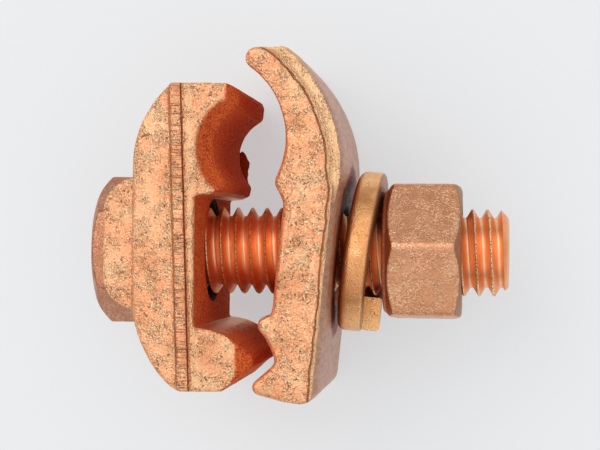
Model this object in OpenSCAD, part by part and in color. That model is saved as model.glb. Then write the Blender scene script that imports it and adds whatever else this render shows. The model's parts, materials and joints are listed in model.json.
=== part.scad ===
// Two-jaw parallel-groove clamp for copper conductors: a fixed casting holds the
// head of one bolt, and a keeper casting is drawn up to it by a nut and a spring
// lock washer. The connector lies on its side, with its grooves upright.
// Origin: on the axis of the run groove, halfway along it.
// +X points along the bolt to the nut, +Z along the grooves.

/* [Castings] */
// Length of both castings along the grooves, between their flat sides
casting_depth = 24; // [20:0.5:32]
// How far the parting ridge stands out from the sides
ridge_height = 0.35; // [0.1:0.05:0.6]
// Width of the parting ridge
ridge_width = 1.2; // [0.8:0.1:2]
// How far each side falls away from the ridge to the edges of a casting
side_draft = 0.7; // [0.3:0.1:1.2]
// Radius of the clearance holes for the bolt
bolt_hole_r = 5.35; // [5.3:0.05:5.6]

/* [Fixed jaw] */
// Thickness of the web that the bolt passes through
web_thickness = 6.5; // [5.5:0.1:8]
// Radius of the run groove
run_r = 4.65; // [4.4:0.05:4.9]
// Extra radius at the mouths of the run groove
run_flare = 1.45; // [0.3:0.05:1.5]
// Length of each flared mouth
flare_length = 2.7; // [1.5:0.1:3.5]
// Run groove axis above the bolt axis
run_height = 10.6; // [10.4:0.1:11]
// Run groove axis in front of the web
run_reach = 6.05; // [5.8:0.05:6.3]
// Flat top of the jaw above the bolt axis
jaw_top = 17.1; // [16.9:0.1:19]
// Flat bottom of the jaw below the bolt axis
jaw_bottom = 14.25; // [13.8:0.1:16]
// Reach of the tap lobe in front of the web
lobe_reach = 5.9; // [5:0.1:6.4]
// How far the two lugs stand behind the web
lug_reach = 3.3; // [2:0.1:4.5]
// Thickness of each lug
lug_thickness = 2.9; // [2:0.1:3.5]
// Height of a lug along the jaw
lug_height = 13.5; // [10:0.5:15]

/* [Keeper jaw] */
// Thickness of the keeper at the bolt
keeper_thickness = 5.4; // [4.8:0.1:6.5]
// Thickness of the keeper's hooked finger where it leaves the plate
finger_thickness = 5.75; // [5.4:0.05:7]
// Lean of the loose keeper and its washer on the bolt
keeper_lean = 5.4; // [0:0.2:5.8]
// Gap between the web and the keeper along the bolt
jaw_gap = 8.75; // [8.5:0.25:11]
// Radius of the hooked finger's inner side
hook_r = 8.9; // [8:0.1:10]
// Radius of the hooked finger's back
hook_back_r = 16.6; // [15.5:0.1:18]

/* [Bolt, nut and washer] */
// Outside diameter of the bolt's thread
bolt_d = 9.4; // [9:0.05:9.5]
// Length of the bolt under its head
bolt_length = 38.1; // [37:0.1:60]
// Width across the flats of the head and the nut
across_flats = 14; // [13.8:0.1:15]
// Height of the bolt's head
head_height = 5.95; // [5:0.05:7]
// Height of the nut
nut_height = 8.33; // [7:0.01:10]
// Turn of the nut about the bolt
nut_turn = 5; // [0:0.2:60]
// Outside diameter of the lock washer
washer_d = 17.3; // [15.5:0.1:18]
// Thickness of the lock washer
washer_thickness = 2.4; // [2:0.1:3]
// Rise of the lock washer's wire from one cut end to the other
washer_rise = 2; // [1:0.1:2.4]
// Opening between the lock washer's cut ends, as an angle
washer_split = 9; // [5:1:20]

/* [Hidden] */

// fits
thread_clearance = 0.05;
washer_clearance = 0.25;
slot_clearance = 0.1;
nut_clearance = 0.1;
keeper_clearance = 0.5;
seat_depth = 0.5;
overrun = 1;
fine = 96;

half_depth = casting_depth / 2;
bolt_r = bolt_d / 2;

// stations along the bolt, measured from the front of the web
head_seat_x = seat_depth - web_thickness;
bolt_end_x = head_seat_x + bolt_length;
keeper_back_x = jaw_gap + keeper_thickness / cos(keeper_lean);
washer_stack = washer_thickness / 2 + washer_rise / 2 + keeper_clearance;
washer_x = keeper_back_x + washer_stack / cos(keeper_lean);
crown_r = 0.475 * across_flats;
nut_x = washer_x + crown_r * sin(keeper_lean)
      + washer_thickness / 2 * cos(keeper_lean) + nut_clearance;

// hexagons: a chamfer cone turns away their corners
corner_r = across_flats / sqrt(3);
chamfer_slope = 0.577;
washer_face = 0.4;
bolt_chamfer = 1;

// fixed jaw: round the back at the top and at the bottom
back_top_r = 11.1;
back_top_y = 8.5;
back_low_r = 12.3;
back_low_y = -4.5;
lobe_r = 6.5;
lobe_top = -7.9;
lobe_tip_r = 1.05;
lobe_tip_y = -11.3;
lip_reach = run_reach - 1.85;
cusp_reach = run_reach - 3.2;
cusp_low = run_height - 4.9;
lip_relief = 1.3;
lug_corner_r = 3.5;
lug_rise = 0.7;
fixed_ridge_x = -1.4;
fixed_ridge_lean = 2;

// keeper: stations on its own upright face
cusp_r = 1.6;
cusp_y = 7.3;
hook_top = 20.4;
hook_tip_r = 1.1;
notch_x = 0.8;
notch_y = -11.1;
heel = -15.1;
heel_r = 1.9;
plate_ridge = 0.75;
finger_ridge = 1.65;

function arc(x, y, r, from, to, steps) =
    [for (i = [0 : steps]) let (a = from + (to - from) * i / steps)
        [x + r * cos(a), y + r * sin(a)]];

function mirrored_z(side) =
    concat(side, [for (i = [len(side) - 1 : -1 : 0]) [side[i][0], -side[i][1]]]);

// Places what is drawn with the bolt axis at the front of the web
module at_bolt() {
    translate([-run_reach, -run_height, 0]) children();
}

// Extrudes an outline in X and Y along Z, to both sides
module slab(outline, depth) {
    translate([0, 0, -depth / 2]) linear_extrude(depth) polygon(outline);
}

// Extrudes a section in X and Z along Y
module run_up(section, low, high) {
    translate([0, high, 0]) rotate([90, 0, 0])
        linear_extrude(high - low) polygon(section);
}

// A round solid along the bolt from one station to another
module along_bolt(from, to, r1, r2) {
    translate([from, 0, 0]) rotate([0, 90, 0])
        cylinder(h = to - from, r1 = r1, r2 = r2, $fn = fine);
}

// A hexagonal prism along the bolt, with a corner at the given angle from +Y
module hexagon(from, to, corner) {
    translate([from, 0, 0]) rotate([corner, 0, 0]) rotate([0, 90, 0])
        rotate([0, 0, 90]) cylinder(h = to - from, r = corner_r, $fn = 6);
}

// A cone that turns down a hexagon's corners at the face where it starts
module crown(face, far_end) {
    far_r = crown_r + abs(far_end - face) / chamfer_slope;
    if (far_end > face)
        along_bolt(face, far_end, crown_r, far_r);
    else
        along_bolt(far_end, face, far_r, crown_r);
}

// The fixed jaw's outline; the run groove is cut from it afterwards
fixed_outline = concat(
    [[0.5 * lobe_reach, -jaw_bottom], [lobe_reach - 1.05, -jaw_bottom + 1.75]],
    arc(lobe_reach - lobe_tip_r, lobe_tip_y, lobe_tip_r, -48, 42, 6),
    arc(0.2, lobe_top - lobe_r, lobe_r, 43, 88, 9),
    [[0, lobe_top]],
    [[0, cusp_low], [cusp_reach - 1.4, cusp_low + 0.15],
     [cusp_reach - 0.4, cusp_low + 0.6], [cusp_reach, cusp_low + 1.2]],
    [[lip_reach - 0.1, run_height + 4.3], [lip_reach, jaw_top - 0.9],
     [lip_reach - 0.3, jaw_top - 0.3], [lip_reach - 1, jaw_top]],
    arc(back_top_r - web_thickness, back_top_y, back_top_r, 129, 180, 12),
    arc(back_low_r - web_thickness, back_low_y, back_low_r, 180, 230, 12),
    [[-1.3, -jaw_bottom]]);

// One side of the fixed jaw's section across the bolt: drafted both ways
fixed_section = mirrored_z([
    [-web_thickness - overrun, half_depth - 1.6 * side_draft - 0.4],
    [-web_thickness + 0.3, half_depth - side_draft],
    [fixed_ridge_x, half_depth],
    [lobe_reach - 1.6, half_depth - side_draft],
    [lobe_reach + overrun, half_depth - 3.2]]);

module parting_ridge() {
    intersection() {
        slab(fixed_outline, casting_depth + 2 * ridge_height);
        translate([fixed_ridge_x, 0, 0]) rotate([0, 0, fixed_ridge_lean])
            translate([-ridge_width / 2, -2 * jaw_top, -half_depth - ridge_height])
                cube([ridge_width, 4 * jaw_top, casting_depth + 2 * ridge_height]);
    }
}

// A D-shaped lug behind the web, which keeps the head from turning
module lug() {
    half = lug_height / 2 - lug_corner_r;
    outline = concat(
        [[-web_thickness + seat_depth, lug_rise + lug_height / 2]],
        arc(lug_corner_r - lug_reach - web_thickness, lug_rise + half,
            lug_corner_r, 90, 180, 8),
        arc(lug_corner_r - lug_reach - web_thickness, lug_rise - half,
            lug_corner_r, 180, 270, 8),
        [[-web_thickness + seat_depth, lug_rise - lug_height / 2]]);
    translate([0, 0, across_flats / 2 + slot_clearance])
        linear_extrude(lug_thickness) polygon(outline);
}

// The run groove with its two flared mouths
module run_groove() {
    translate([run_reach, run_height, 0]) {
        cylinder(h = casting_depth, r = run_r, center = true, $fn = fine);
        for (side = [0, 1]) mirror([0, 0, side])
            translate([0, 0, half_depth - flare_length])
                cylinder(h = flare_length + overrun, r1 = run_r,
                         r2 = run_r + run_flare * (flare_length + overrun) / flare_length,
                         $fn = fine);
    }
}

// A wedge that shortens the lip towards each end of the groove
module lip_wedge() {
    for (side = [0, 1]) mirror([0, 0, side])
        run_up([[lip_reach + 0.05, half_depth - flare_length],
                [lip_reach + overrun, half_depth - flare_length],
                [lip_reach + overrun, half_depth + overrun],
                [lip_reach - lip_relief * (1 + overrun / flare_length),
                 half_depth + overrun]],
               run_height, jaw_top + overrun);
}

module fixed_jaw() {
    color([0.85, 0.56, 0.42]) at_bolt() difference() {
        union() {
            intersection() {
                slab(fixed_outline, casting_depth);
                run_up(fixed_section, -2 * jaw_top, 2 * jaw_top);
            }
            parting_ridge();
            lug();
            mirror([0, 0, 1]) lug();
        }
        run_groove();
        lip_wedge();
        along_bolt(-web_thickness - overrun, overrun, bolt_hole_r, bolt_hole_r);
        // seat for the head, milled between the lugs
        translate([-web_thickness - lug_reach - overrun, -corner_r - overrun,
                   -across_flats / 2 - slot_clearance])
            cube([lug_reach + overrun + seat_depth, 2 * (corner_r + overrun),
                  across_flats + 2 * slot_clearance]);
    }
}

// The keeper's outline, upright; the inner side of the hook is cut afterwards
keeper_outline = concat(
    [[0, -6.6], [0, cusp_y - 2.2]],
    arc(cusp_r - 1.15, cusp_y, cusp_r, 232, 150, 6),
    [[-hook_tip_r - 3.3, cusp_y + 1.4]],
    arc(-4.3, hook_top - hook_tip_r, hook_tip_r, 200, 90, 6),
    [[-2.6, hook_top + 0.1], [-1.5, hook_top + 0.45]],
    arc(finger_thickness - hook_back_r, cusp_y, hook_back_r, 50, 3, 12),
    [[keeper_thickness, cusp_y - 0.8]],
    arc(keeper_thickness - heel_r, heel + heel_r, heel_r, 0, -84, 6),
    [[1.6, heel + 0.1], [-0.7, heel + 0.45], [-1.3, heel + 0.85], [-1.3, heel + 1.4],
     [notch_x - 0.1, notch_y - 0.45], [notch_x, notch_y],
     [notch_x - 0.1, notch_y + 0.35], [-0.4, -8.8], [-1.3, -8], [-1.35, -7.3],
     [-0.85, -6.75]]);

// The keeper's section across its length, with its parting ridge near the back
function keeper_section(back, ridge) = mirrored_z([
    [-hook_r, half_depth - side_draft],
    [back - ridge, half_depth + ridge_height],
    [back - ridge + 0.1, half_depth - 0.1],
    [back - 0.15, half_depth - side_draft],
    [back, half_depth - 2.5]]);

module keeper_blank() {
    centre = finger_thickness - hook_back_r;
    run_up(keeper_section(keeper_thickness, plate_ridge), heel - overrun, cusp_y);
    translate([centre, cusp_y, 0]) rotate_extrude(angle = 75, $fn = fine)
        polygon([for (p = keeper_section(finger_thickness, finger_ridge))
                     [p[0] - centre, p[1]]]);
}

module keeper_jaw() {
    color([0.87, 0.58, 0.42]) at_bolt() translate([jaw_gap, 0, 0])
        rotate([0, 0, -keeper_lean]) difference() {
            intersection() {
                slab(keeper_outline, casting_depth + 2 * ridge_height);
                keeper_blank();
            }
            translate([-0.4 - hook_r, run_height + 0.2, 0])
                cylinder(h = casting_depth + 2, r = hook_r, center = true, $fn = fine);
            along_bolt(-overrun, keeper_thickness + overrun, bolt_hole_r, bolt_hole_r);
        }
}

module hex_bolt() {
    color([0.78, 0.45, 0.3]) at_bolt() {
        intersection() {
            hexagon(head_seat_x - head_height, head_seat_x, 0);
            crown(head_seat_x - head_height, head_seat_x);
        }
        along_bolt(head_seat_x, bolt_end_x - bolt_chamfer, bolt_r, bolt_r);
        along_bolt(bolt_end_x - bolt_chamfer, bolt_end_x, bolt_r, bolt_r - bolt_chamfer);
    }
}

// Points of the lock washer: four corners of its wire at each step round the bolt
washer_steps = 48;
washer_bore = bolt_r + washer_clearance;
function washer_ring(i) =
    let (share = i / washer_steps,
         turn = -180 + washer_split + share * (360 - washer_split),
         middle = washer_rise * (0.5 - share),
         low = middle - washer_thickness / 2,
         high = middle + washer_thickness / 2)
    [for (corner = [[low, washer_bore], [low, washer_d / 2],
                    [high, washer_d / 2], [high, washer_bore]])
        [corner[0], corner[1] * cos(turn), corner[1] * sin(turn)]];

module lock_washer() {
    points = [for (i = [0 : washer_steps]) each washer_ring(i)];
    walls = [for (i = [0 : washer_steps - 1]) for (side = [0 : 3])
        let (a = 4 * i + side, b = 4 * i + (side + 1) % 4)
        each [[a, b, b + 4], [a, b + 4, a + 4]]];
    last = 4 * washer_steps;
    color([0.8, 0.5, 0.3]) at_bolt() translate([washer_x, 0, 0])
        rotate([0, 0, -keeper_lean])
            polyhedron(points, concat(walls, [[3, 2, 1, 0],
                                              [last, last + 1, last + 2, last + 3]]));
}

module hex_nut() {
    color([0.72, 0.47, 0.36]) at_bolt() difference() {
        union() {
            intersection() {
                hexagon(nut_x + washer_face, nut_x + nut_height, 90 - nut_turn);
                crown(nut_x + washer_face, nut_x + nut_height);
                crown(nut_x + nut_height, nut_x + washer_face);
            }
            along_bolt(nut_x, nut_x + nut_height / 2, crown_r, crown_r);
        }
        along_bolt(nut_x - overrun, nut_x + nut_height + overrun,
                   bolt_r + thread_clearance, bolt_r + thread_clearance);
    }
}

fixed_jaw();
keeper_jaw();
hex_bolt();
lock_washer();
hex_nut();
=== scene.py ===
# %% [markdown]
# # A two-jaw parallel-groove connector
#
# Two copper castings share one bolt. The fixed jaw holds the bolt's head between
# two lugs, and the hooked keeper is drawn up to it by a nut and a spring lock
# washer, so that two conductors are gripped side by side. The solids come from
# CAD. Here they get what a caster, a thread roller and a shot-blaster leave
# behind: soft edges, a ragged parting line, a real thread and a grainy skin.
#
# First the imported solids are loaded. Their box is kept, because the finished
# model has to stay inside it.

import json
import math

import bpy
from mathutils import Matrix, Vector

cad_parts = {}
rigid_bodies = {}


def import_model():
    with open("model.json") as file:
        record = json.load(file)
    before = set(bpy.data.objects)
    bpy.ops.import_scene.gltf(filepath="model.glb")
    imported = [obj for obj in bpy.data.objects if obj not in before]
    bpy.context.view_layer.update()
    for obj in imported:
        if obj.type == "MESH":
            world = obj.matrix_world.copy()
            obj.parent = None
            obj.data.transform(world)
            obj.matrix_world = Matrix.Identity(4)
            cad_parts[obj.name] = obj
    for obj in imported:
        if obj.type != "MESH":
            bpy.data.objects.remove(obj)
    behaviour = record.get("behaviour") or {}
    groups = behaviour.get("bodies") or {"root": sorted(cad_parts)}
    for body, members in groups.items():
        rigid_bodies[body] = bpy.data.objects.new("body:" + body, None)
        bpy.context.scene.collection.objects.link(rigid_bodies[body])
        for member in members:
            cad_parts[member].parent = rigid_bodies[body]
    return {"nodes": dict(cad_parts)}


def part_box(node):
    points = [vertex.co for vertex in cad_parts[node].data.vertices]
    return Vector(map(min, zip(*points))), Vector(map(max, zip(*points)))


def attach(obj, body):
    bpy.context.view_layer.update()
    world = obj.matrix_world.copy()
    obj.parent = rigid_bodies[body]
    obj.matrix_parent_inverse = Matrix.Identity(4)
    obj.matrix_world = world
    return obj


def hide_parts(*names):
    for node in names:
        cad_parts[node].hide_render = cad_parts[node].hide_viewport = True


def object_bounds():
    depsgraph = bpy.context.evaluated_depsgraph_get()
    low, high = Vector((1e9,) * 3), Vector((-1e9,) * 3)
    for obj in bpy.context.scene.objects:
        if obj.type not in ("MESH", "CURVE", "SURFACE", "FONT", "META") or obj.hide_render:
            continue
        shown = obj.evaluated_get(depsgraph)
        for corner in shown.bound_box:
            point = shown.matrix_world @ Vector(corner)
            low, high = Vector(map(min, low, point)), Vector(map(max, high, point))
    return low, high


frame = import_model()
cad_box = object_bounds()
MM = 0.001
print("solids:", sorted(frame["nodes"]))

# %% [markdown]
# Every length below is in millimetres and is multiplied by `MM`, because Blender
# works in metres. The bolt's axis and the stations along it are read from the
# solids' own boxes, so nothing has to be fitted by eye. A station is counted from
# the front of the fixed jaw's web, which the bolt's head end gives.
#
# The loose keeper leans on the bolt. Its own upright axes cross at a foot on the
# bolt's axis, and the back of its finger is an arc about a centre in those axes.

# %% Stations along the bolt
bolt_low, bolt_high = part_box("hex_bolt")
nut_low, nut_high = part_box("hex_nut")
axis_y = (bolt_low[1] + bolt_high[1]) / 2
floor_z = cad_box[0][2]
HEAD_END = -11.95
HEAD_SEAT = -6.0
WEB_X = bolt_low[0] / MM - HEAD_END
BOLT_END = bolt_high[0] / MM - WEB_X
NUT_BACK = nut_low[0] / MM - WEB_X
NUT_FRONT = nut_high[0] / MM - WEB_X
ACROSS_FLATS = 14
LEAN = math.radians(5.4)
KEEPER_FOOT = (2.7, -10.6)
FINGER_CENTRE = (-10.85, 7.3)
STEP_RADIUS = 14.95
STEP_PLATE = 4.5
print("bolt axis at y =", round(axis_y / MM, 2), "mm, web at x =", round(WEB_X, 2),
      "mm, bolt's end", round(BOLT_END, 2), "mm in front of it, nut from",
      round(NUT_BACK, 2), "to", round(NUT_FRONT, 2), "mm")

# %% [markdown]
# ## Small helpers
#
# Blender's operators act on whatever is selected, so each step starts by
# deselecting everything. `finish_modifiers` applies what a piece has collected,
# because a finished piece is a plain mesh with no history.

# %% Selecting and applying
def only(piece):
    """Leaves one object selected and active."""
    bpy.ops.object.select_all(action="DESELECT")
    piece.select_set(True)
    bpy.context.view_layer.objects.active = piece
    return piece


def finish_modifiers(piece):
    """Applies what a piece has collected, in order."""
    only(piece)
    for modifier in list(piece.modifiers):
        bpy.ops.object.modifier_apply(modifier=modifier.name)
    return piece


def apply_place(piece):
    """Moves an object's place into its mesh, so that the object sits at the origin."""
    only(piece)
    bpy.ops.object.transform_apply(location=True, rotation=True, scale=True)
    return piece


def report(piece):
    """Prints a piece's faces and its box."""
    low = [min(v.co[i] for v in piece.data.vertices) / MM for i in range(3)]
    high = [max(v.co[i] for v in piece.data.vertices) / MM for i in range(3)]
    print(piece.name, len(piece.data.polygons), "faces, from",
          [round(c, 2) for c in low], "to", [round(c, 2) for c in high])


def cut(piece, tool, operation):
    """Booleans a tool into a piece, and removes the tool."""
    step = piece.modifiers.new("cut", "BOOLEAN")
    step.operation = operation
    step.solver = "EXACT"
    step.object = tool
    finish_modifiers(piece)
    bpy.data.objects.remove(tool, do_unlink=True)
    return piece


def copy_of_solid(node, name):
    """A piece with a solid's own mesh, its loose triangles merged."""
    only(frame["nodes"][node])
    bpy.ops.object.duplicate()
    piece = bpy.context.active_object
    piece.name = name
    piece.data.name = name
    bpy.ops.object.parent_clear(type="CLEAR_KEEP_TRANSFORM")
    apply_place(piece)
    bpy.ops.object.mode_set(mode="EDIT")
    bpy.ops.mesh.select_all(action="SELECT")
    bpy.ops.mesh.remove_doubles(threshold=0.001 * MM)
    bpy.ops.mesh.normals_make_consistent(inside=False)
    bpy.ops.object.mode_set(mode="OBJECT")
    return piece


# %% [markdown]
# ## Floor, light and camera
#
# The connector lies on white paper. The floor is a pale cool grey that takes the
# soft shadow. Real paper would need more light than copper can stand, so for the
# camera, and for what glossy metal mirrors, half of the paper's white is its own
# glow. The other half is lit, which keeps the shadow.

# %% Floor
bpy.ops.object.select_all(action="DESELECT")
bpy.ops.mesh.primitive_plane_add(size=4, location=(0, 0, floor_z))
floor = bpy.context.active_object
floor.name = "paper"
apply_place(floor)
paper = bpy.data.materials.new("paper")
paper.use_nodes = True
paper_shader = paper.node_tree.nodes["Principled BSDF"]
paper_shader.inputs["Base Color"].default_value = (0.80, 0.815, 0.83, 1)
paper_shader.inputs["Roughness"].default_value = 0.9
paper_nodes, paper_links = paper.node_tree.nodes, paper.node_tree.links
glow = paper_nodes.new("ShaderNodeEmission")
glow.inputs["Color"].default_value = (0.875, 0.89, 0.905, 1)
ray = paper_nodes.new("ShaderNodeLightPath")
seen = ray.outputs["Is Camera Ray"]
for kind in ("Is Glossy Ray", "Is Transmission Ray"):
    either = paper_nodes.new("ShaderNodeMath")
    either.operation = "MAXIMUM"
    paper_links.new(seen, either.inputs[0])
    paper_links.new(ray.outputs[kind], either.inputs[1])
    seen = either.outputs[0]
glow_share = paper_nodes.new("ShaderNodeMath")
glow_share.operation = "MULTIPLY"
glow_share.inputs[1].default_value = 0.55
paper_links.new(seen, glow_share.inputs[0])
lit = paper_nodes.new("ShaderNodeMixShader")
paper_links.new(glow_share.outputs[0], lit.inputs["Fac"])
paper_links.new(paper_shader.outputs["BSDF"], lit.inputs[1])
paper_links.new(glow.outputs["Emission"], lit.inputs[2])
paper_links.new(lit.outputs["Shader"], paper_nodes["Material Output"].inputs["Surface"])
floor.data.materials.append(paper)
print("paper lies at z =", round(floor_z / MM, 2), "mm")

# %% [markdown]
# Copper shows what it mirrors, so the room matters more than the lamp. It is
# bright overhead and falls off to near darkness at the floor: faces that look up
# mirror white, and faces that look sideways mirror the dark, which draws every
# edge. One soft box, over the bolt's head and the run groove, adds the glints and
# the direction of the shadow.

# %% Lamp and room
KEY_PLACE = (-0.22, 0.22, 0.42)
KEY_TARGET = (0.005, -0.009, 0)
bpy.ops.object.light_add(type="AREA", location=KEY_PLACE)
key_box = bpy.context.active_object
key_box.name = "key_box"
key_box.data.shape = "SQUARE"
key_box.data.size = 0.36
key_box.data.energy = 0.6
key_aim = Vector(KEY_TARGET) - Vector(KEY_PLACE)
key_box.rotation_euler = key_aim.to_track_quat("-Z", "Y").to_euler()

ROOM_LEVELS = ((0.0, 0.10), (0.16, 0.16), (0.42, 0.66), (0.66, 0.92))
world = bpy.data.worlds.new("room")
bpy.context.scene.world = world
world.use_nodes = True
room = world.node_tree.nodes["Background"]
room.inputs["Strength"].default_value = 1.08
way = world.node_tree.nodes.new("ShaderNodeTexCoord")
height = world.node_tree.nodes.new("ShaderNodeSeparateXYZ")
fall = world.node_tree.nodes.new("ShaderNodeValToRGB")
fall.color_ramp.interpolation = "EASE"
for spot, (place, level) in enumerate(ROOM_LEVELS):
    stops = fall.color_ramp.elements
    stop = stops[spot] if spot < 2 else stops.new(place)
    stop.position = place
    stop.color = (0.97 * level, 0.985 * level, level, 1)
world.node_tree.links.new(way.outputs["Generated"], height.inputs[0])
world.node_tree.links.new(height.outputs["Z"], fall.inputs["Fac"])
world.node_tree.links.new(fall.outputs["Color"], room.inputs["Color"])
bpy.context.scene.view_settings.view_transform = "Standard"
print("room:", len(ROOM_LEVELS), "levels, lamp of", key_box.data.energy, "W")

# %% [markdown]
# The camera looks down on the connector's side from 170 mm above the bolt's axis,
# in front of the nut, so the castings show a little of their inner and outer
# walls.

# %% Camera
lens_data = bpy.data.cameras.new("camera")
lens_data.lens = 94.45
lens_data.sensor_width = 36
lens_data.clip_start = 0.01
camera = bpy.data.objects.new("camera", lens_data)
bpy.context.collection.objects.link(camera)
camera.location = (22.97 * MM, -9.02 * MM, 170 * MM)
camera.rotation_euler = [math.radians(a) for a in (0.473, 6.523, 0.503)]
bpy.context.scene.camera = camera
print("camera stands", round(camera.location.z / MM), "mm above the axis")

# %% [markdown]
# ## Copper
#
# Every piece is a copper alloy, and nearly all its colour is in its reflection:
# the metal takes the blue out of what it mirrors. The finishes differ in their
# skin. A blasted casting is covered with small dents that catch the lamp, a
# rolled thread is smooth, and a tumbled nut lies in between. Each skin also has
# pale specks and broad pale patches, which are painted glint specks and painted
# highlights.
#
# The colours could be painted by hand, but noise on Object coordinates gives the
# same grain on every side with no seam. `Finish` keeps the node sums short.

# %% A copper finish
class Finish:
    """A metal material and the few node sums that the finishes share."""

    def __init__(self, name):
        self.material = bpy.data.materials.new(name)
        self.material.use_nodes = True
        self.nodes = self.material.node_tree.nodes
        self.links = self.material.node_tree.links
        self.shader = self.nodes["Principled BSDF"]
        self.shader.inputs["Metallic"].default_value = 1
        self.where = self.nodes.new("ShaderNodeTexCoord")

    def feed(self, socket, value):
        """Sets a socket to a number or a colour, or links it."""
        if isinstance(value, tuple):
            socket.default_value = (*value, 1) if len(value) == 3 else value
        elif isinstance(value, (int, float)):
            socket.default_value = value
        else:
            self.links.new(value, socket)

    def sum(self, operation, first, second=0.0):
        node = self.nodes.new("ShaderNodeMath")
        node.operation = operation
        self.feed(node.inputs[0], first)
        self.feed(node.inputs[1], second)
        return node.outputs[0]

    def noise(self, size, detail, roughness=0.5, stretch=(1, 1, 1)):
        """Noise with grains of a size; stretch below 1 draws them out that way."""
        node = self.nodes.new("ShaderNodeTexNoise")
        node.inputs["Scale"].default_value = 1 / size
        node.inputs["Detail"].default_value = detail
        node.inputs["Roughness"].default_value = roughness
        scale = self.nodes.new("ShaderNodeVectorMath")
        scale.operation = "MULTIPLY"
        scale.inputs[1].default_value = stretch
        self.links.new(self.where.outputs["Object"], scale.inputs[0])
        self.links.new(scale.outputs[0], node.inputs["Vector"])
        return node.outputs["Fac"]

    def spread(self, value, low, high, to_low=0.0, to_high=1.0):
        """A soft ramp from to_low at low to to_high at high."""
        node = self.nodes.new("ShaderNodeMapRange")
        node.interpolation_type = "SMOOTHSTEP"
        for key, number in (("From Min", low), ("From Max", high),
                            ("To Min", to_low), ("To Max", to_high)):
            node.inputs[key].default_value = number
        self.links.new(value, node.inputs["Value"])
        return node.outputs["Result"]

    def blend(self, share, first, second):
        node = self.nodes.new("ShaderNodeMix")
        node.data_type = "RGBA"
        self.feed(node.inputs["Factor"], share)
        self.feed(node.inputs["A"], first)
        self.feed(node.inputs["B"], second)
        return node.outputs["Result"]

    def parts(self, output="Object"):
        """The three coordinates of a point, or of its normal."""
        node = self.nodes.new("ShaderNodeSeparateXYZ")
        self.links.new(self.where.outputs[output], node.inputs[0])
        return node.outputs["X"], node.outputs["Y"], node.outputs["Z"]

    def close(self, colour, roughness, height, depth):
        """Links what was mixed to the metal's shader."""
        self.links.new(colour, self.shader.inputs["Base Color"])
        self.links.new(roughness, self.shader.inputs["Roughness"])
        bump = self.nodes.new("ShaderNodeBump")
        bump.inputs["Strength"].default_value = 1
        bump.inputs["Distance"].default_value = depth
        self.links.new(height, bump.inputs["Height"])
        self.links.new(bump.outputs["Normal"], self.shader.inputs["Normal"])
        return self.material


def copper_skin(finish, tint, pale, deep, grain, pit, mottle):
    """A dented skin with painted glint specks and painted highlight patches: its colour,
    its height and its slow patches.
    """
    fine = finish.noise(grain, 2, 0.55)
    patches = finish.noise(grain * 7, 2)
    broad = finish.noise(grain * 22, 2)
    pits = finish.noise(grain * 1.5, 1, 0.4)
    peened = finish.spread(patches, 0.62, 0.40, 0.35, 1)
    # Pale specks here are painted glint specks, strongest where the skin is peened.
    painted_glints = finish.sum("MULTIPLY", finish.spread(fine, 0.51, 0.59), peened)
    colour = finish.blend(finish.spread(fine, 0.30, 0.46, 0.35, 1), deep, tint)
    colour = finish.blend(painted_glints, colour, pale)
    colour = finish.blend(finish.spread(broad, 0.48, 0.66, 0, mottle), colour, deep)
    # Broad pale patches are painted highlights.
    colour = finish.blend(finish.spread(broad, 0.46, 0.32, 0, 0.28), colour, pale)
    rare = finish.sum("ADD", pits, finish.sum("MULTIPLY", patches, 0.32))
    pitted = finish.spread(rare, 0.50, 0.41, 0, pit)
    colour = finish.blend(pitted, colour, (0.75 * deep[0], 0.66 * deep[1], 0.6 * deep[2]))
    relief = finish.sum("MULTIPLY", finish.sum("SUBTRACT", fine, 0.5), peened)
    height = finish.sum("SUBTRACT", finish.sum("MULTIPLY", relief, 1.35),
                        finish.sum("MULTIPLY", pitted, 0.6))
    return colour, height, patches


def distance(finish, first, second):
    """The length of a vector with two parts."""
    return finish.sum("SQRT", finish.sum("ADD", finish.sum("MULTIPLY", first, first),
                                         finish.sum("MULTIPLY", second, second)))


def bolt_radius(finish):
    """How far a point lies from the bolt's axis."""
    x, y, z = finish.parts()
    return distance(finish, finish.sum("SUBTRACT", y, axis_y), z)


# %% [markdown]
# Each casting carries one line. The fixed jaw's parting ridge ends in a sharp
# edge and is crossed by fine ribs. The keeper's side has a raised part, which
# stops at a step that wanders a little, and beyond it lies a band. Neither step
# is deep enough for the mesh's cells, so both are drawn in the finish, from the
# distance to a line or an arc. Each step gets a dark painted shadow, the strip or
# band beyond it a pale painted highlight, and the ribs are bumps.

# %% Lines on the castings
RIDGE_EDGE_X = -6.85
RIDGE_LEAN = math.tan(math.radians(2))


def fixed_ridge_line(finish):
    """The painted shadow at the sharp edge of the fixed jaw's ridge, the painted highlight
    on the strip beyond it, and the ribs.
    """
    x, y, z = finish.parts()
    along = finish.sum("MULTIPLY", finish.sum("SUBTRACT", y, axis_y), RIDGE_LEAN)
    offset = finish.sum("ADD", finish.sum("SUBTRACT", x, RIDGE_EDGE_X * MM), along)
    side = finish.spread(finish.sum("ABSOLUTE", z), 11.5 * MM, 11.7 * MM)
    # The dark line at the ridge's sharp edge is a painted shadow of the step.
    edge = finish.spread(finish.sum("ABSOLUTE", offset), 0.09 * MM, 0.03 * MM, 0, 0.8)
    middle = finish.sum("ABSOLUTE", finish.sum("ADD", offset, 0.62 * MM))
    ribs = finish.sum("MULTIPLY", finish.noise(0.4 * MM, 1, 0.5, (0.15, 1, 0.15)),
                      finish.spread(middle, 0.75 * MM, 0.5 * MM, 0, 3.0))
    # The pale strip beyond the edge is a painted highlight.
    strip = finish.spread(offset, 0.2 * MM, 0.35 * MM)
    strip = finish.sum("MULTIPLY", strip,
                       finish.spread(offset, 1.3 * MM, 0.8 * MM, 0, 0.5))
    return (finish.sum("MULTIPLY", edge, side), finish.sum("MULTIPLY", strip, side),
            finish.sum("MULTIPLY", ribs, side))


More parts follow.
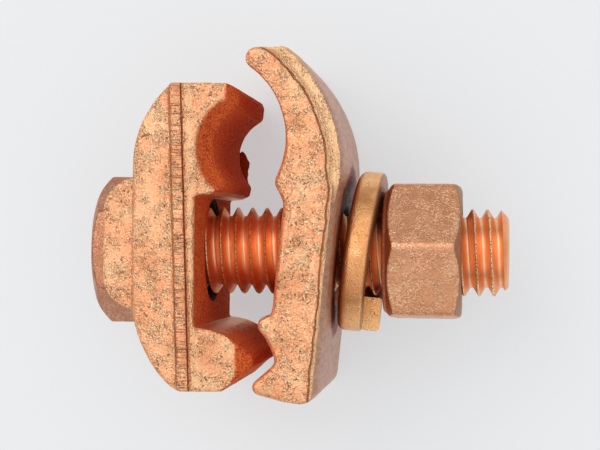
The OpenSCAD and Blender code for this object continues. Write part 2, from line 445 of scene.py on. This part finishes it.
def keeper_step_line(finish):
    """The painted shadow along the keeper's wandering step, and the painted highlight on
    the band beyond it.
    """
    upright = finish.nodes.new("ShaderNodeVectorRotate")
    upright.rotation_type = "Z_AXIS"
    upright.inputs["Center"].default_value = (KEEPER_FOOT[0] * MM, KEEPER_FOOT[1] * MM, 0)
    upright.inputs["Angle"].default_value = LEAN
    finish.links.new(finish.where.outputs["Object"], upright.inputs["Vector"])
    split = finish.nodes.new("ShaderNodeSeparateXYZ")
    finish.links.new(upright.outputs[0], split.inputs[0])
    x = finish.sum("SUBTRACT", split.outputs["X"], KEEPER_FOOT[0] * MM)
    y = finish.sum("SUBTRACT", split.outputs["Y"], KEEPER_FOOT[1] * MM)
    reach = finish.sum("SUBTRACT", x, FINGER_CENTRE[0] * MM)
    rise = finish.sum("SUBTRACT", y, FINGER_CENTRE[1] * MM)
    finger = finish.sum("SUBTRACT", distance(finish, reach, rise), STEP_RADIUS * MM)
    plate = finish.sum("SUBTRACT", x, STEP_PLATE * MM)
    up = finish.spread(rise, -1.5 * MM, 1.5 * MM)
    offset = finish.sum("ADD", finish.sum("MULTIPLY", finger, up),
                        finish.sum("MULTIPLY", plate, finish.sum("SUBTRACT", 1.0, up)))
    wander = finish.sum("MULTIPLY", finish.sum("SUBTRACT", finish.noise(1.6 * MM, 2), 0.5),
                        0.5 * MM)
    offset = finish.sum("ADD", offset, wander)
    side = finish.spread(finish.sum("ABSOLUTE", finish.parts()[2]), 10.9 * MM, 11.2 * MM)
    # The dark line along the step is a painted shadow, and the band beyond it a painted
    # highlight.
    edge = finish.spread(finish.sum("ABSOLUTE", offset), 0.13 * MM, 0.05 * MM)
    band = finish.spread(offset, 0.08 * MM, 0.2 * MM, 0, 0.75)
    return finish.sum("MULTIPLY", edge, side), finish.sum("MULTIPLY", band, side), 0.0


print("ridge edge at x =", RIDGE_EDGE_X, "mm, keeper's step", STEP_RADIUS,
      "mm from the centre of its finger")

# %% [markdown]
# The two castings are blasted with shot. Walls that face the other jaw get a
# deep red painted shade, and so does the ring under the washer. The bolt holes
# get a nearly black painted shade, and the keeper's flat back a grey painted
# reflection of the paper, faintly streaked. Where a wall looks is read from its
# normal, so the painted shade follows the form by itself.

# %% Blasted castings
def shaded_walls(finish, colour, hollow, hole, height):
    """Paints shade on the walls that face the other jaw and in the bolt hole; how dull they
    are comes too.
    """
    # Deep red painted shade for the walls that face the other jaw.
    painted_shade_red = finish.blend(finish.spread(height, -0.15, 0.12), (0.56, 0.055, 0.008),
                             (0.90, 0.22, 0.05))
    colour = finish.blend(hollow, colour, painted_shade_red)
    # The bolt hole is painted nearly black as shade.
    colour = finish.blend(hole, colour, (0.05, 0.02, 0.015))
    return colour, finish.sum("MAXIMUM", hollow, hole)


def close_casting(finish, colour, hollow, dull, height, patches):
    """A dull wall is less of a mirror, and a hollow one is rougher too."""
    finish.links.new(finish.sum("SUBTRACT", 1.0, finish.sum("MULTIPLY", dull, 0.65)),
                     finish.shader.inputs["Metallic"])
    finish.shader.inputs["Specular IOR Level"].default_value = 0.2
    rough = finish.sum("ADD", finish.spread(patches, 0.3, 0.7, 0.35, 0.46),
                       finish.sum("MULTIPLY", hollow, 0.45))
    material = finish.close(colour, rough, height, 0.17 * MM)
    print("finish", material.name, "has", len(finish.nodes), "nodes")
    return material


def blasted_skin(finish):
    return copper_skin(finish, tint=(0.89, 0.395, 0.20), pale=(1.0, 0.75, 0.44),
                       deep=(0.66, 0.24, 0.10), grain=0.19 * MM, pit=0.75, mottle=0.35)


def paint_line_shade_and_highlight(finish, colour, height, edge, beyond, ribs):
    """Paints a casting's line as a dark painted shadow and dents it into the skin, and
    paints a highlight on the strip beyond it.
    """
    # A pale painted highlight beyond the line, then the line's dark painted shadow.
    colour = finish.blend(finish.sum("MULTIPLY", beyond, 0.75), colour, (1.0, 0.66, 0.36))
    colour = finish.blend(edge, colour, (0.46, 0.16, 0.065))
    height = finish.sum("ADD", height, ribs)
    height = finish.sum("SUBTRACT", height, finish.sum("MULTIPLY", edge, 0.6))
    return colour, height


def cast_fixed_jaw():
    """Its groove and web look along +X and get the painted shade."""
    finish = Finish("fixed_jaw_copper")
    colour, height, patches = blasted_skin(finish)
    colour, height = paint_line_shade_and_highlight(finish, colour, height, *fixed_ridge_line(finish))
    x, y, z = finish.parts()
    # inner marks the walls that face the keeper, which get painted shade.
    inner = finish.spread(finish.parts("Normal")[0], 0.25, 0.55)
    ahead = finish.spread(x, -6.65 * MM, -6.35 * MM)
    below = finish.spread(finish.sum("ABSOLUTE", z), 11.85 * MM, 11.5 * MM)
    inner = finish.sum("MULTIPLY", inner, finish.sum("MULTIPLY", ahead, below))
    # Painted shade: a darker band in the groove between the lugs and the jaw top.
    lug_step_shade = finish.spread(x, -16.35 * MM, -16.5 * MM, 0, 0.8)
    colour = finish.blend(lug_step_shade, colour, (0.58, 0.22, 0.085))
    hollow = finish.sum("MULTIPLY", inner, 0.95)
    hole = finish.spread(bolt_radius(finish), 5.65 * MM, 5.5 * MM)
    colour, dull = shaded_walls(finish, colour, hollow, hole, height)
    return close_casting(finish, colour, hollow, dull, height, patches)


def cast_keeper():
    """Its hook and notch look along -X, and its flat back along +X."""
    finish = Finish("keeper_copper")
    colour, height, patches = blasted_skin(finish)
    colour, height = paint_line_shade_and_highlight(finish, colour, height, *keeper_step_line(finish))
    facing = finish.parts("Normal")[0]
    # inner marks the walls that face the fixed jaw, which get painted shade.
    inner = finish.spread(finish.sum("MULTIPLY", facing, -1), 0.25, 0.55)
    # back marks the flat back, which gets a grey painted reflection of the paper.
    back = finish.spread(facing, 0.62, 0.85)
    streaks = finish.noise(0.5 * MM, 3, 0.6, (1, 1, 0.25))
    paper_reflection_grey = finish.blend(finish.spread(streaks, 0.4, 0.6), (0.43, 0.235, 0.18),
                        (0.54, 0.335, 0.275))
    colour = finish.blend(finish.sum("MULTIPLY", back, 0.75), colour, paper_reflection_grey)
    hollow = finish.sum("MULTIPLY", inner, 0.6)
    radius = bolt_radius(finish)
    hole = finish.spread(radius, 5.65 * MM, 5.5 * MM)
    colour, dull = shaded_walls(finish, colour, hollow, hole, height)
    # seat marks the ring under the washer, which gets a dark red painted shade.
    seat = finish.sum("MULTIPLY", back, finish.spread(radius, 9.6 * MM, 8.8 * MM))
    ring_shade = finish.sum("MULTIPLY", seat, finish.sum("SUBTRACT", 1.0, hole))
    colour = finish.blend(ring_shade, colour, (0.26, 0.04, 0.012))
    dull = finish.sum("MAXIMUM", dull, seat)
    return close_casting(finish, colour, hollow, dull, height, patches)


fixed_jaw_copper = cast_fixed_jaw()
keeper_copper = cast_keeper()

# %% [markdown]
# Bolt, nut and washer are worked rather than cast. The thread's flanks were
# squeezed smooth. Its crests get painted gold glint specks and its roots a pale
# painted highlight. The faces of the nut and the washer that look along the
# bolt get painted shade, a redder one on the keeper's side.

# %% Rolled, tumbled and sprung copper
def paint_crest_glints_and_root_highlight(finish, colour):
    """Painted gold glint specks on the thread's crests, and a pale painted highlight in the
    roots between them.
    """
    radius = bolt_radius(finish)
    # The gold specks on the crests are painted glint specks.
    crest = finish.spread(radius, 4.62 * MM, 4.66 * MM, 0, 0.9)
    sparks = finish.spread(finish.noise(0.16 * MM, 1), 0.40, 0.50)
    gold = finish.blend(sparks, (0.62, 0.20, 0.06), (1.0, 0.86, 0.52))
    colour = finish.blend(crest, colour, gold)
    # The pale roots are a painted highlight.
    root = finish.spread(radius, 4.1 * MM, 3.78 * MM, 0, 0.9)
    return finish.blend(root, colour, (1.0, 0.58, 0.34))


def paint_face_shade(finish, colour, sides):
    """Paints shade on the faces that look along the bolt, a redder one on those next to the
    keeper, and makes them less metallic.
    """
    facing = finish.parts("Normal")[0]
    # Painted shade on the faces that look along the bolt.
    front = finish.spread(facing, 0.45, 0.75, 0, sides)
    # Redder painted shade on the faces next to the keeper.
    back = finish.spread(finish.sum("MULTIPLY", facing, -1.0), 0.45, 0.75, 0, 0.95)
    colour = finish.blend(front, colour, (0.33, 0.14, 0.055))
    colour = finish.blend(back, colour, (0.46, 0.085, 0.02))
    dull = finish.sum("MULTIPLY", finish.sum("MAXIMUM", front, back), 0.4)
    finish.links.new(finish.sum("SUBTRACT", 1.0, dull), finish.shader.inputs["Metallic"])
    return colour


def worked_copper(name, tint, pale, deep, grain, depth, rough, pit, mottle,
                  threaded=False, sides=0.0):
    """A smoother skin; sides is how much painted shade darkens its end faces."""
    finish = Finish(name)
    colour, height, patches = copper_skin(finish, tint, pale, deep, grain * MM, pit, mottle)
    if threaded:
        colour = paint_crest_glints_and_root_highlight(finish, colour)
    if sides:
        colour = paint_face_shade(finish, colour, sides)
    roughness = finish.spread(patches, 0.3, 0.7, rough - 0.04, rough + 0.05)
    print("finish", name, "has", len(finish.nodes), "nodes")
    return finish.close(colour, roughness, height, depth * MM)


rolled_copper = worked_copper(
    "rolled_copper", tint=(0.98, 0.42, 0.19), pale=(1.0, 0.48, 0.24),
    deep=(0.90, 0.32, 0.12), grain=0.10, depth=0.004, rough=0.42, pit=0.1, mottle=0.3,
    threaded=True)
tumbled_copper = worked_copper(
    "tumbled_copper", tint=(0.76, 0.345, 0.18), pale=(1.0, 0.62, 0.38),
    deep=(0.58, 0.24, 0.11), grain=0.18, depth=0.07, rough=0.38, pit=0.4, mottle=0.3,
    sides=0.85)
head_copper = worked_copper(
    "head_copper", tint=(0.54, 0.22, 0.12), pale=(0.80, 0.45, 0.27),
    deep=(0.40, 0.15, 0.075), grain=0.18, depth=0.06, rough=0.42, pit=0.4, mottle=0.3)
washer_copper = worked_copper(
    "washer_copper", tint=(0.98, 0.45, 0.17), pale=(1.0, 0.74, 0.36),
    deep=(0.66, 0.24, 0.09), grain=0.15, depth=0.06, rough=0.34, pit=0.5, mottle=0.5,
    sides=0.8)
# The flash's dark red is painted shade.
flash_shade_copper = worked_copper(
    "flash_shade_copper", tint=(0.36, 0.05, 0.012), pale=(0.5, 0.09, 0.03),
    deep=(0.26, 0.03, 0.01), grain=0.2, depth=0.05, rough=0.55, pit=0.3, mottle=0.4)


# %% Dressing a piece
def dress(piece, material, body, slot, *nodes):
    """Gives a piece its finish and its body, and hides the solids that it stands for."""
    piece.data.materials.clear()
    piece.data.materials.append(material)
    only(piece)
    bpy.ops.object.shade_smooth_by_angle(angle=math.radians(35))
    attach(piece, body)
    if nodes:
        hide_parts(*nodes)
    report(piece)


# %% [markdown]
# ## The two castings
#
# A sand casting has no sharp edge anywhere. One way to round it is to bevel its
# edges, but where a groove, a hole and a ridge meet there are dozens of small
# ones. Remeshing the solid into even small cells and smoothing them rounds every
# edge at once, and gives the displacement that follows a mesh to work on. Two
# noises then make the skin uneven, and a third makes the parting ridge ragged,
# held to the ridge by a vertex group. The flared mouths of the run groove are
# smoothed many times more, because the conductors run out over them, and so is
# the whole keeper, whose edges are rounder than the fixed jaw's.

# %% Cast skin
def uneven(piece, name, size, depth, middle=0.5, group=""):
    """Displaces the skin by a cloud texture with lumps of a size."""
    cloud = bpy.data.textures.new(name, "CLOUDS")
    cloud.noise_scale = size
    cloud.noise_depth = 2
    step = piece.modifiers.new(name, "DISPLACE")
    step.texture = cloud
    step.texture_coords = "LOCAL"
    step.strength = depth
    step.mid_level = middle
    step.vertex_group = group


def smoothed(piece, name, rounds, group=""):
    step = piece.modifiers.new(name, "SMOOTH")
    step.factor = 0.5
    step.iterations = rounds
    step.vertex_group = group


def soft_skin(piece, cell, rounds):
    """Even small cells, smoothed, so that every edge is a little round."""
    cells = piece.modifiers.new("cells", "REMESH")
    cells.mode = "VOXEL"
    cells.voxel_size = cell * MM
    smoothed(piece, "soften", rounds)
    return finish_modifiers(piece)


def held(piece, name, wanted):
    """A vertex group of the points that pass a test."""
    group = piece.vertex_groups.new(name=name)
    group.add([v.index for v in piece.data.vertices if wanted(v.co)], 1, "ADD")


def wear_groove(piece):
    """Rounds the flared mouths of the run groove, whose axis is the origin's."""
    held(piece, "mouths", lambda co: math.hypot(co.x, co.y) < 5.75 * MM
         and 7.5 * MM < abs(co.z) < 10.9 * MM)
    smoothed(piece, "worn", 30, "mouths")
    return finish_modifiers(piece)


def cast_skin(piece):
    """Ripples, dimples and a ragged parting ridge."""
    held(piece, "ridge", lambda co: abs(co.z) > 12.05 * MM)
    uneven(piece, "ripple", 3 * MM, 0.10 * MM, -0.3)
    uneven(piece, "dimple", 0.7 * MM, 0.05 * MM)
    uneven(piece, "ridge_top", 0.8 * MM, 0.25 * MM, 0.9, "ridge")
    smoothed(piece, "settle", 1)
    return finish_modifiers(piece)


def level_band(piece):
    """Levels the finger's band beyond its step, which the blast has peened flat."""
    for vertex in piece.data.vertices:
        x = vertex.co.x / MM - KEEPER_FOOT[0]
        y = vertex.co.y / MM - KEEPER_FOOT[1]
        x, y = (x * math.cos(LEAN) - y * math.sin(LEAN),
                x * math.sin(LEAN) + y * math.cos(LEAN))
        up = min(1, max(0, (y - 4.5) / 4))
        reach = math.hypot(x - FINGER_CENTRE[0], y - FINGER_CENTRE[1])
        beyond = up * (reach - STEP_RADIUS) + (1 - up) * (x - STEP_PLATE)
        inside = up * (16.6 - reach) + (1 - up) * (5.4 - x)
        height = abs(vertex.co.z) / MM
        if beyond > 0.1 and inside > 0.25 and height > 10.6:
            level = max(height, height + up * (11.85 - 0.12 * beyond - height))
            vertex.co.z = math.copysign(level * MM, vertex.co.z)


# %% Fixed jaw and keeper
CAST_CELL = 0.18
fixed_jaw = soft_skin(copy_of_solid("fixed_jaw", "fixed_jaw_casting"), CAST_CELL, 2)
cast_skin(wear_groove(fixed_jaw))
dress(fixed_jaw, fixed_jaw_copper, "body", "jaw_casting", "fixed_jaw")
keeper_jaw = soft_skin(copy_of_solid("keeper_jaw", "keeper_jaw_casting"), CAST_CELL, 2)
smoothed(keeper_jaw, "worn", 30)
level_band(cast_skin(finish_modifiers(keeper_jaw)))
dress(keeper_jaw, keeper_copper, "keeper", "keeper_casting", "keeper_jaw")

# %% [markdown]
# ## The threaded bolt
#
# The thread is rolled: a blank is squeezed between dies, which leaves a rounded
# crest, a rounded root and no sharp corner. One pitch of its outline is drawn as
# a chain of edges, and the Screw modifier turns it round the axis while it moves
# on by a pitch. The open ends are drawn together to points on the axis, and a
# lathe-turned bar with a chamfered tip then cuts the rod to length. That makes
# the thread fade out round the tip, as it does on a real bolt.
#
# These tools work about the X axis, with stations measured from the front of the
# jaw's web. `to_bolt_axis` moves what they made to its place.

# %% Turning
def closed(piece):
    """Merges doubled points and turns every face outwards."""
    only(piece)
    bpy.ops.object.mode_set(mode="EDIT")
    bpy.ops.mesh.select_all(action="SELECT")
    bpy.ops.mesh.remove_doubles(threshold=0.002 * MM)
    bpy.ops.mesh.normals_make_consistent(inside=False)
    bpy.ops.object.mode_set(mode="OBJECT")
    return piece


def chain(name, points):
    """A piece that is only a chain of edges, its points in millimetres."""
    mesh = bpy.data.meshes.new(name)
    mesh.from_pydata([[c * MM for c in p] for p in points],
                     [(i, i + 1) for i in range(len(points) - 1)], [])
    piece = bpy.data.objects.new(name, mesh)
    bpy.context.collection.objects.link(piece)
    return only(piece)


def turned(name, profile, steps=96):
    """A lathe-turned solid from a profile of (station, radius)."""
    piece = chain(name, [(x, r, 0) for x, r in profile])
    turn = piece.modifiers.new("turn", "SCREW")
    turn.axis = "X"
    turn.steps = turn.render_steps = steps
    turn.use_merge_vertices = True
    turn.merge_threshold = 0.001 * MM
    return closed(finish_modifiers(piece))


def to_bolt_axis(piece):
    piece.location = (WEB_X * MM, axis_y, 0)
    return apply_place(piece)


# %% Threading
PITCH = 25.4 / 16
THREAD = [(0, 3.74), (0.07, 3.76), (0.14, 3.85), (0.40, 4.56), (0.44, 4.66),
          (0.50, 4.70), (0.56, 4.66), (0.60, 4.56), (0.86, 3.85), (0.93, 3.76),
          (1, 3.74)]
THREAD_START = -2.73
print("thread:", round(1 / PITCH * 25.4), "to the inch,", PITCH, "mm pitch")


def draw_to_point(piece, edges, tip):
    """Closes an open end with a fan of faces that meet on the axis."""
    piece.data.vertices.foreach_set("select", [False] * len(piece.data.vertices))
    piece.data.edges.foreach_set("select", [False] * len(piece.data.edges))
    piece.data.polygons.foreach_set("select", [False] * len(piece.data.polygons))
    for edge in edges:
        edge.select = True
        for vertex in edge.vertices:
            piece.data.vertices[vertex].select = True
    bpy.ops.object.mode_set(mode="EDIT")
    bpy.ops.mesh.select_mode(type="EDGE")
    bpy.ops.mesh.extrude_edges_move()
    bpy.ops.object.mode_set(mode="OBJECT")
    for vertex in piece.data.vertices:
        if vertex.select:
            vertex.co = (tip * MM, 0, 0)
    closed(piece)


def threaded_rod(name, start, turns, extra=0.0):
    """A helix about the X axis, each open end closed with a fan."""
    rod = chain(name, [(start + share * PITCH, r + extra, 0) for share, r in THREAD])
    helix = rod.modifiers.new("helix", "SCREW")
    helix.axis = "X"
    helix.steps = helix.render_steps = 64
    helix.screw_offset = PITCH * MM
    helix.iterations = turns
    closed(finish_modifiers(rod))
    middle = (start + (turns + 1) * PITCH / 2) * MM
    for first, tip in ((True, start), (False, start + (turns + 1) * PITCH)):
        uses = {}
        for face in rod.data.polygons:
            for key in face.edge_keys:
                uses[key] = uses.get(key, 0) + 1
        ends = [edge for edge in rod.data.edges if uses[edge.key] == 1
                and (rod.data.vertices[edge.vertices[0]].co.x < middle) == first]
        draw_to_point(rod, ends, tip)
    return rod


# %% Hexagons
def hexagon(name, start, end, corner):
    """A six-sided bar with its long edges rounded, one corner at an angle from +Y."""
    bpy.ops.object.select_all(action="DESELECT")
    bpy.ops.mesh.primitive_cylinder_add(vertices=6,
                                        radius=ACROSS_FLATS / math.sqrt(3) * MM,
                                        depth=(end - start) * MM,
                                        rotation=(0, math.radians(90), 0))
    piece = bpy.context.active_object
    piece.name = name
    apply_place(piece)
    piece.rotation_euler.x = math.radians(corner)
    piece.location.x = (start + end) / 2 * MM
    apply_place(piece)
    bpy.ops.object.mode_set(mode="EDIT")
    bpy.ops.mesh.select_mode(type="EDGE")
    bpy.ops.mesh.select_all(action="DESELECT")
    bpy.ops.object.mode_set(mode="OBJECT")
    for edge in piece.data.edges:
        ends = [piece.data.vertices[v].co.x for v in edge.vertices]
        edge.select = abs(ends[0] - ends[1]) > 1 * MM
    bpy.ops.object.mode_set(mode="EDIT")
    bpy.ops.mesh.bevel(offset=0.35 * MM, segments=3, affect="EDGES")
    bpy.ops.object.mode_set(mode="OBJECT")
    return piece


def crown(face, far_end):
    """The cone of 30 degrees that turns down a hexagon's corners at a face."""
    face_r = 0.475 * ACROSS_FLATS
    far_r = face_r + abs(far_end - face) / 0.577
    return turned("crown", [(face, 0), (face, face_r), (far_end, far_r), (far_end, 0)])


# %% Bolt: head, plain shank and rolled thread
bolt = cut(hexagon("threaded_bolt", HEAD_END, HEAD_SEAT, 0),
           crown(HEAD_END, HEAD_SEAT), "INTERSECT")
soft_skin(bolt, 0.15, 4)
uneven(bolt, "head_ripple", 2.5 * MM, 0.06 * MM)
finish_modifiers(bolt)
shank = turned("shank", [(HEAD_SEAT - 0.6, 0), (HEAD_SEAT - 0.6, 4.66), (-2.2, 4.66),
                         (-1.5, 3.8), (-1.5, 0)])
rod = threaded_rod("rod", THREAD_START * PITCH, 24)
tip = round(BOLT_END, 2)
bar = turned("bar", [(-2, 0), (-2, 5), (tip - 1.25, 5), (tip - 0.1, 3.8), (tip, 3.6),
                     (tip, 0)])
cut(rod, bar, "INTERSECT")
cut(rod, shank, "UNION")
cut(bolt, rod, "UNION")
to_bolt_axis(bolt)
dress(bolt, rolled_copper, "body", "bolt_bronze", "hex_bolt")
bolt.data.materials.append(head_copper)
for face in bolt.data.polygons:
    face.material_index = int(face.center.x < (WEB_X + HEAD_SEAT - 0.05) * MM)

# %% [markdown]
# ## Nut
#
# The nut is forged and tumbled. It is a hexagon with both faces crowned, a round
# washer face under it, a countersink at each mouth and a thread that fits the
# bolt's own helix, so the two stay in step as the nut runs along.

# %% Nut
back = round(NUT_BACK, 3)
front = round(NUT_FRONT, 3)
seat = back + 0.4
nut = cut(hexagon("tapped_nut", seat, front, 85), crown(front, seat), "INTERSECT")
cut(nut, crown(seat, front), "INTERSECT")
cut(nut, turned("washer_face", [(back, 0), (back, 6.4), (back + 0.144, 6.6), (20, 6.6),
                                (20, 0)]), "UNION")
soft_skin(nut, 0.15, 3)
uneven(nut, "forged_ripple", 2.5 * MM, 0.10 * MM)
finish_modifiers(nut)
cut(nut, threaded_rod("tap", (THREAD_START + 12) * PITCH, 10, 0.06), "DIFFERENCE")
for face, inner in ((18.7, 19.7), (27.25, 26.25)):
    cut(nut, turned("countersink", [(face, 0), (face, 5.2), (inner, 4.1), (inner, 0)]),
        "DIFFERENCE")
to_bolt_axis(nut)
dress(nut, tumbled_copper, "nut", "nut_bronze", "hex_nut")

# %% [markdown]
# ## Spring lock washer
#
# A lock washer is coiled from wire that is nearly square, cut off at an angle and
# left sprung, so its two ends stand apart. Its rim is softer on the keeper's side.
# A rounded section is turned through most of a circle while it drops by the
# spring's rise, and the two ends are capped.

# %% Washer
def rounded_section(low, high, corners):
    """Points of a rectangle whose four corners each have their own radius."""
    points = []
    spots = ((high[0], low[1], -90), (high[0], high[1], 0),
             (low[0], high[1], 90), (low[0], low[1], 180))
    for (x, r, start), radius in zip(spots, corners):
        cx = x - radius if x == high[0] else x + radius
        cr = r - radius if r == high[1] else r + radius
        for step in range(6):
            turn = math.radians(start + step * 18)
            points.append((cx + radius * math.cos(turn), cr + radius * math.sin(turn), 0))
    return points


SPLIT = math.radians(9)
wire = rounded_section((-0.4, 4.95), (2.2, 8.65), (0.25, 0.35, 0.85, 0.25))
washer = chain("lock_washer_coil", wire + wire[:1])
coil = washer.modifiers.new("coil", "SCREW")
coil.axis = "X"
coil.angle = 2 * math.pi - SPLIT
coil.steps = coil.render_steps = 128
coil.screw_offset = -1.8 * MM
finish_modifiers(washer)
closed(washer)
bpy.ops.object.mode_set(mode="EDIT")
bpy.ops.mesh.select_all(action="SELECT")
bpy.ops.mesh.fill_holes(sides=0)
bpy.ops.mesh.normals_make_consistent(inside=False)
bpy.ops.object.mode_set(mode="OBJECT")
washer.rotation_euler.x = SPLIT - math.pi
apply_place(washer)
washer.rotation_euler.z = -LEAN
washer.location = ((WEB_X + 16.75) * MM, axis_y, 0)
apply_place(washer)
dress(washer, washer_copper, "washer", "washer_bronze", "lock_washer")

# %% [markdown]
# ## Flash in the groove
#
# Where the two halves of a casting's core met, a thin ragged tongue of metal is
# left at the lower mouth of the run groove. It is a flat sheet with a torn edge,
# coloured dark red as painted shade.

# %% Flash
torn = [(-6.4, 0.2), (-5.3, 0.35), (-4.6, 0.85), (-4.25, 0.5), (-4.0, -0.1),
        (-3.75, -0.5), (-3.8, -1.0), (-3.95, -1.45), (-3.9, -1.9), (-4.0, -2.3),
        (-3.85, -3.05), (-3.75, -3.65), (-3.9, -4.3), (-5.4, -4.6), (-6.4, -2.4)]
flash = chain("groove_flash", [(x, y, -11.62) for x, y in torn] + [(*torn[0], -11.62)])
closed(flash)
bpy.ops.object.mode_set(mode="EDIT")
bpy.ops.mesh.select_all(action="SELECT")
bpy.ops.mesh.edge_face_add()
bpy.ops.mesh.extrude_region_move(TRANSFORM_OT_translate={"value": (0, 0, 0.34 * MM)})
bpy.ops.mesh.select_all(action="SELECT")
bpy.ops.mesh.normals_make_consistent(inside=False)
bpy.ops.mesh.bevel(offset=0.08 * MM, segments=2, affect="EDGES")
bpy.ops.object.mode_set(mode="OBJECT")
dress(flash, flash_shade_copper, "body", "jaw_casting")
